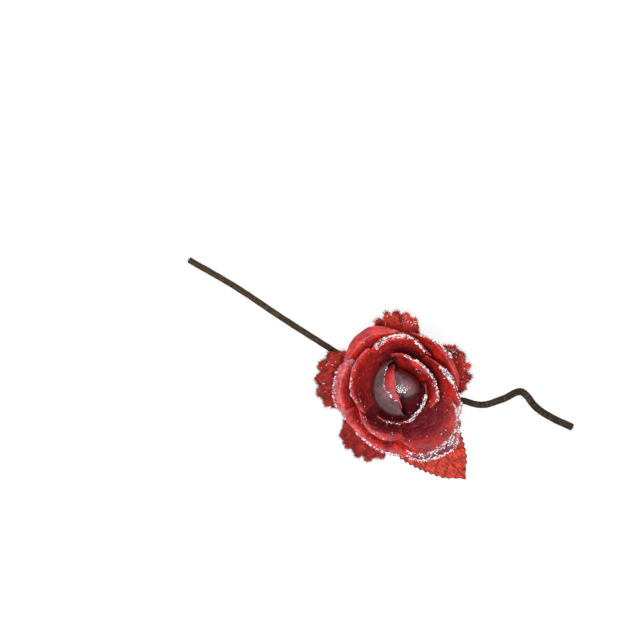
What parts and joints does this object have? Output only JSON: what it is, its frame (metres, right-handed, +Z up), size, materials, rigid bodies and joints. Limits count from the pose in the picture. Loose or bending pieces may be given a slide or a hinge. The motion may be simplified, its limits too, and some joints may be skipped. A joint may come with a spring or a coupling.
{
  "type": "crepe paper rose",
  "caption": "Waxed crepe paper rose lying face up on a paper-covered wire, with a frayed ruffle under its cupped petals and one satin leaf.",
  "frame": {"origin": "on the flat underside of the binding tape, below the long wire's centreline, at the tape's middle", "axes": "+X along the rose's longest way, from the wire's straight free end towards its waved tail; +Z up from the table, the way the rose faces"},
  "size_m": [0.1659, 0.0953, 0.0332],
  "materials": {
    "petal_paper": "waxed, with a cloudy bloom and white grains on the rims",
    "bud_paper": "waxed, grey-mauve over red",
    "ruffle_crepe": "matt, frayed edge",
    "leaf_satin": "satin, pressed veins",
    "stem_paper": "matt twisted paper",
    "steel": "plain drawn wire"
  },
  "bodies": {
    "root": {"outer_petal_1": "petal_paper", "outer_petal_2": "petal_paper", "outer_petal_3": "petal_paper", "outer_petal_4": "petal_paper", "outer_petal_5": "petal_paper", "middle_petal_1": "petal_paper", "middle_petal_2": "petal_paper", "middle_petal_3": "petal_paper", "middle_petal_4": "petal_paper", "middle_petal_5": "petal_paper", "inner_petal": "petal_paper", "bud_petal_outer": "petal_paper", "bud_petal_side": "bud_paper", "bud_petal_strip": "petal_paper", "bud_core": "bud_paper", "calyx_ruffle": "ruffle_crepe", "leaf": "leaf_satin", "leaf_stalk": "steel", "head_wire": "steel", "stem_wire": "steel", "stem_wrap": "stem_paper", "binding_tape": "stem_paper"}
  },
  "joints": []
}
